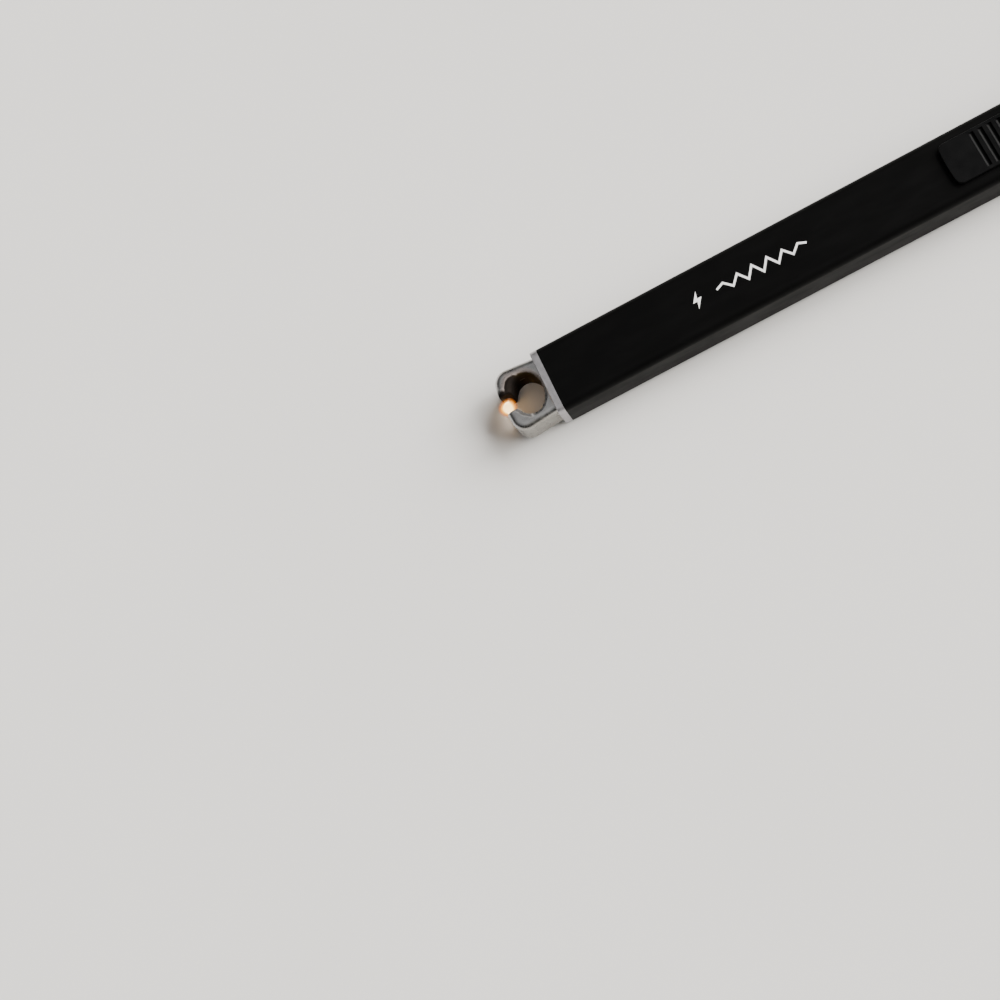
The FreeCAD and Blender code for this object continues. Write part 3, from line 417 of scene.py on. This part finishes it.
def paint_nodes():
    paint(coated_metal("body_coating", grey(0.0011), grey(0.0021), 0.42), "body_tube")
    paint(cast_metal("cast_head"), "arc_head")
    paint(satin_plate("satin_plate"), "head_plate")
    paint(fired_ceramic("alumina"), "insulator_left", "insulator_right")
    paint(electrode_metal("electrode"), "electrode_left", "electrode_right")
    paint(moulded_plastic("slider_moulding", (0.0014, 0.0015, 0.0016, 1),
                          (0.0026, 0.0027, 0.0029, 1), 0.40, 0.16, 0.014, 0.08), "thumb_slider")
    paint(moulded_plastic("cap_moulding", grey(0.0015), grey(0.0027), 0.40, 0.16, 0.014, 0.09),
          "tail_cap")
    paint(moulded_plastic("tray_moulding", grey(0.045), grey(0.065), 0.55, 0.2, 0.015), "inner_tray")
    paint(moulded_plastic("inner_black", grey(0.018), grey(0.028), 0.5), "transformer_case",
          "switch_base", "switch_actuator", "slider_carriage", "usb_moulding", "controller_chip",
          "charger_chip", "power_transistors", "chip_resistors", "battery_lead_black",
          "primary_lead_right")
    paint(moulded_plastic("cast_resin", grey(0.010), grey(0.016), 0.16, 2.0, 0.03), "potting_lid")
    paint(moulded_plastic("bobbin_moulding", (0.44, 0.38, 0.28, 1), (0.54, 0.48, 0.37, 1), 0.5),
          "transformer_bobbin")
    paint(moulded_plastic("lead_white", (0.62, 0.61, 0.58, 1), (0.72, 0.71, 0.68, 1), 0.55),
          "hv_lead_left", "hv_lead_right")
    paint(moulded_plastic("lead_red", (0.38, 0.012, 0.010, 1), (0.48, 0.02, 0.016, 1), 0.42),
          "battery_lead_red", "primary_lead_left")
    paint(moulded_plastic("ferrite", grey(0.04), grey(0.075), 0.6, 0.1, 0.02), "ferrite_core")
    paint(moulded_plastic("fired_tan", (0.34, 0.23, 0.14, 1), (0.44, 0.31, 0.20, 1), 0.45),
          "chip_capacitors")
    paint(moulded_plastic("block_yellow", (0.46, 0.24, 0.02, 1), (0.58, 0.31, 0.03, 1), 0.4),
          "bulk_capacitor")
    paint(moulded_plastic("led_resin", (0.70, 0.70, 0.60, 1), (0.84, 0.84, 0.76, 1), 0.3),
          "indicator_leds")
    paint(plain_metal("plated_steel", grey(0.42), grey(0.58), 0.3), "switch_case", "head_screws",
          "detent_spring")
    paint(plain_metal("black_oxide", grey(0.03), grey(0.06), 0.38), "tail_cap_screws")
    paint(plain_metal("socket_shell", (0.46, 0.46, 0.45, 1), (0.62, 0.62, 0.60, 1), 0.26,
                      (0.2, 1.0, 1.0), 0.15), "usb_shell")
    paint(plain_metal("gold_plate", (0.62, 0.40, 0.14, 1), (0.86, 0.60, 0.26, 1), 0.25),
          "usb_contacts")
    paint(clear_acrylic("clear_acrylic"), "light_pipe")
    paint(circuit_green("solder_mask"), "circuit_board")
    paint(wound_copper("enamelled_copper"), "secondary_winding", "primary_winding")
    paint(pouch_foil("pouch_foil"), "battery_cell")
    paint(soft_foam("foam"), "battery_foam")


# ---------------------------------------------------------------- mesh helpers


def piece(name, mesh_data, body, material):
    """Links a finished bmesh as an object that rides on a body."""
    mesh = bpy.data.meshes.new(name)
    mesh_data.to_mesh(mesh)
    mesh_data.free()
    mesh.materials.append(material)
    obj = bpy.data.objects.new(name, mesh)
    bpy.context.scene.collection.objects.link(obj)
    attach(obj, body)


def add_plate(bm, outline, z0, z1):
    """Adds a closed plate on an outline of (x, y) points given anticlockwise."""
    low = [bm.verts.new((x, y, z0)) for x, y in outline]
    high = [bm.verts.new((x, y, z1)) for x, y in outline]
    bm.faces.new(high)
    bm.faces.new(low[::-1])
    count = len(outline)
    for i in range(count):
        j = (i + 1) % count
        bm.faces.new((low[i], low[j], high[j], high[i]))


# ---------------------------------------------------------------- printed marks

PRINT_THICK = 0.012 * MM
BOLT_CENTRE = TUBE_FRONT - 33.8 * MM
BOLT_HEIGHT = 3.9 * MM
WAVE_START = TUBE_FRONT - 38.2 * MM
WAVE_END = TUBE_FRONT - 58.4 * MM
WAVE_HALF_HEIGHT = 1.25 * MM
WAVE_PEAKS = 11
STROKE_HALF = 0.23 * MM

# A plain lightning bolt one unit high, seen with the arc tip to the left: (to the right, upwards).
BOLT_SHAPE = [(0.12, 0.50), (-0.27, -0.08), (-0.03, -0.08), (-0.12, -0.50), (0.27, 0.08),
              (0.03, 0.08)]


def wave_line():
    """Corner points of a zigzag along the face, taller in the middle than at its ends."""
    points = [(WAVE_START, 0.0)]
    for i in range(WAVE_PEAKS):
        share = (i + 1) / (WAVE_PEAKS + 1)
        side = 1 if i % 2 else -1
        height = WAVE_HALF_HEIGHT * (0.45 + 0.55 * math.sin(math.pi * share))
        points.append((WAVE_START + (WAVE_END - WAVE_START) * share, side * height))
    points.append((WAVE_END, 0.0))
    return points


def add_stroke(bm, points, half, z0, z1):
    """Adds a flat stroke of even width along a line of (x, y) points, with mitred corners."""
    directions = [(Vector(b) - Vector(a)).normalized() for a, b in zip(points, points[1:])]
    left = []
    right = []
    for i, point in enumerate(points):
        before = directions[max(i - 1, 0)]
        after = directions[min(i, len(directions) - 1)]
        across = Vector((-(before + after).y, (before + after).x)).normalized()
        reach = half / max(across.dot(Vector((-before.y, before.x))), 0.3)
        left.append(Vector(point) + across * reach)
        right.append(Vector(point) - across * reach)
    for i in range(len(points) - 1):
        add_plate(bm, [left[i], right[i], right[i + 1], left[i + 1]], z0, z1)


def print_marks():
    """White print on the face: a plain bolt sign and a zigzag line."""
    bm = bmesh.new()
    z0 = FACE_Z - PRINT_THICK / 2
    z1 = FACE_Z + PRINT_THICK
    bolt = [(BOLT_CENTRE - right * BOLT_HEIGHT, -up * BOLT_HEIGHT) for right, up in BOLT_SHAPE]
    add_plate(bm, bolt, z0, z1)
    add_stroke(bm, wave_line(), STROKE_HALF, z0, z1)
    bmesh.ops.remove_doubles(bm, verts=bm.verts, dist=0.001 * MM)
    bmesh.ops.recalc_face_normals(bm, faces=bm.faces)
    piece("face_print", bm, "housing", white_ink("white_ink"))


# ---------------------------------------------------------------- electric arc

ELECTRODE_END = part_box("electrode_right")[1]
ARC_REACH = -ELECTRODE_END.y
ARC_X = ELECTRODE_END.x - 0.3 * MM
ARC_BOW = 0.55 * MM
ARC_DRIFT = -0.35 * MM
BALL_RINGS = 24
BALL_SIDES = 28
CORE_RADIUS = 0.95 * MM
# Radius, colour, strength and opacity of each thin shell of glow round the core.
SHELLS = ((1.20 * MM, (1.0, 0.64, 0.16, 1), 5.5, 0.60), (1.46 * MM, (1.0, 0.47, 0.08, 1), 3.2, 0.42),
          (1.75 * MM, (1.0, 0.33, 0.04, 1), 1.9, 0.26), (2.05 * MM, (1.0, 0.26, 0.03, 1), 1.2, 0.13))


def glow_ball(radius, reach):
    """Closed ball drawn out to a point on each side and bowed away from the head."""
    bm = bmesh.new()
    loops = []
    for i in range(1, BALL_RINGS):
        angle = math.pi * i / BALL_RINGS
        swell = math.sin(angle)
        y = -reach * math.cos(angle) + ARC_DRIFT * swell
        r = radius * swell
        x = ARC_X + ARC_BOW * swell
        loops.append([bm.verts.new((x + r * math.cos(a), y, MID_Z + r * math.sin(a)))
                      for a in [2 * math.pi * k / BALL_SIDES for k in range(BALL_SIDES)]])
    for first, second in zip(loops, loops[1:]):
        for k in range(BALL_SIDES):
            j = (k + 1) % BALL_SIDES
            bm.faces.new((first[k], first[j], second[j], second[k]))
    for loop, end in ((loops[0], -reach), (loops[-1], reach)):
        pole = bm.verts.new((ARC_X, end, MID_Z))
        for k in range(BALL_SIDES):
            bm.faces.new((loop[k], loop[(k + 1) % BALL_SIDES], pole))
    bmesh.ops.recalc_face_normals(bm, faces=bm.faces)
    for face in bm.faces:
        face.smooth = True
    return bm


def electric_arc():
    """The lit arc that the switched-on lighter shows between its electrodes, in thin shells."""
    core = glowing("arc_core_light", (1.0, 0.90, 0.56, 1), 12.0)
    piece("arc_core", glow_ball(CORE_RADIUS, ARC_REACH), "housing", core)
    for i, (radius, colour, strength, opacity) in enumerate(SHELLS):
        light = glowing("arc_glow_light_" + str(i + 1), colour, strength, opacity)
        piece("arc_glow_" + str(i + 1), glow_ball(radius, radius), "housing", light)


# ---------------------------------------------------------------- studio


FLOOR_HALF = 20.0
SUN_WIDTH = math.radians(50)


def floor():
    bm = bmesh.new()
    bmesh.ops.create_grid(bm, x_segments=1, y_segments=1, size=FLOOR_HALF)
    mesh = bpy.data.meshes.new("floor")
    bm.to_mesh(mesh)
    bm.free()
    mesh.materials.append(pale_floor("floor_paint"))
    obj = bpy.data.objects.new("floor", mesh)
    bpy.context.scene.collection.objects.link(obj)


def soft_sun(name, azimuth, elevation, strength, colour):
    """A wide, soft light from a compass direction (0 is +X, 90 is +Y) and a height, in degrees."""
    light = bpy.data.lights.new(name, "SUN")
    light.energy = strength
    light.angle = SUN_WIDTH
    light.color = colour
    obj = bpy.data.objects.new(name, light)
    bpy.context.scene.collection.objects.link(obj)
    turn, lift = math.radians(azimuth), math.radians(elevation)
    towards = Vector((math.cos(turn) * math.cos(lift), math.sin(turn) * math.cos(lift),
                      math.sin(lift)))
    obj.rotation_mode = "QUATERNION"
    obj.rotation_quaternion = towards.to_track_quat("Z", "Y")


def sky():
    """A pale horizon, a dark band above it that the metal mirrors, and a soft light overhead."""
    world = bpy.data.worlds.new("studio")
    world.use_nodes = True
    tree = world.node_tree
    coords = tree.nodes.new("ShaderNodeTexCoord")
    split = tree.nodes.new("ShaderNodeSeparateXYZ")
    ramp = tree.nodes.new("ShaderNodeValToRGB")
    tree.links.new(coords.outputs["Generated"], split.inputs[0])
    tree.links.new(split.outputs["Z"], ramp.inputs["Fac"])
    tree.links.new(ramp.outputs["Color"], tree.nodes["Background"].inputs["Color"])
    stops = ((0.0, 0.9), (0.06, 0.8), (0.20, 0.05), (0.66, 0.06), (0.90, 0.42), (1.0, 0.60))
    elements = ramp.color_ramp.elements
    while len(elements) < len(stops):
        elements.new(1.0)
    for element, (height, light) in zip(elements, stops):
        element.position = height
        element.color = grey(light)
    bpy.context.scene.world = world


def studio():
    sky()
    soft_sun("key", 200, 27, 7.5, (1.0, 0.98, 0.95))
    soft_sun("fill", 168, 27, 7.0, (1.0, 0.97, 0.93))


# ---------------------------------------------------------------- camera

AIM = Vector((TUBE_FRONT + 19.83 * MM, 18.36 * MM, FACE_Z))
AZIMUTH = 198.85
ELEVATION = 69.31
DISTANCE = 420.5 * MM
LENS = 75.0
UP_LEAN = Vector((-0.4605, -0.8522, 0.2484))


def camera():
    """Looks down on the face from behind and to the left, with the tip low on the left."""
    data = bpy.data.cameras.new("camera")
    data.lens = LENS
    data.sensor_width = 36.0
    data.clip_start = 0.01
    data.clip_end = 20.0
    obj = bpy.data.objects.new("camera", data)
    bpy.context.scene.collection.objects.link(obj)
    azimuth = math.radians(AZIMUTH)
    elevation = math.radians(ELEVATION)
    back = Vector((math.sin(azimuth) * math.cos(elevation),
                   -math.cos(azimuth) * math.cos(elevation), math.sin(elevation)))
    right = UP_LEAN.cross(back).normalized()
    up = back.cross(right)
    turn = Matrix((right, up, back)).transposed().to_4x4()
    obj.matrix_world = Matrix.Translation(AIM + back * DISTANCE) @ turn
    bpy.context.scene.camera = obj


paint_nodes()
print_marks()
electric_arc()
floor()
studio()
camera()
